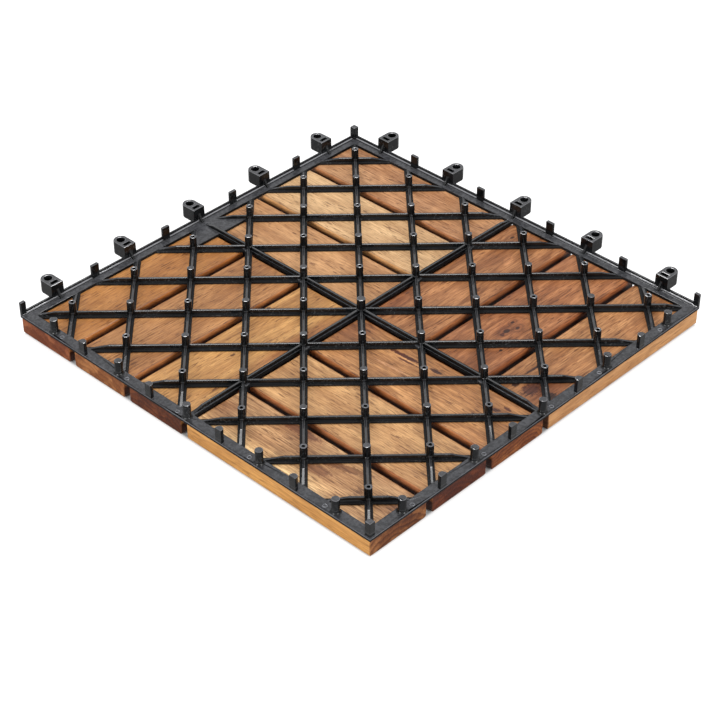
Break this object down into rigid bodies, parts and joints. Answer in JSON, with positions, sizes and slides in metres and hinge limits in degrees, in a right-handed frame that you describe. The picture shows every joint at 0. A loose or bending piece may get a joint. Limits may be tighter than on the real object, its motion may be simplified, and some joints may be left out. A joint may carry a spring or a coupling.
{
  "type": "interlocking deck tile",
  "caption": "Square deck tile: hardwood slats in a basket pattern on a moulded lattice base with joining loops and posts, lying face down.",
  "frame": {"origin": "middle of the tile's whole outline, joining loops included, on the plane of the walking face", "axes": "+Z from the walking face to the feet, so the tile lies face down as pictured; +X and +Y point to the two edges with joining loops"},
  "size_m": [0.3082, 0.3082, 0.0235],
  "materials": {
    "base": "semi-matte moulded plastic",
    "wood": "oiled hardwood",
    "pin": "plain steel"
  },
  "bodies": {
    "root": {"base_grid": "base", "slat_left_1": "wood", "slat_left_2": "wood", "slat_left_3": "wood", "slat_near_1": "wood", "slat_near_2": "wood", "slat_near_3": "wood", "slat_right_1": "wood", "slat_right_2": "wood", "slat_right_3": "wood", "slat_far_1": "wood", "slat_far_2": "wood", "slat_far_3": "wood", "fixing_pins": "pin"}
  },
  "joints": []
}
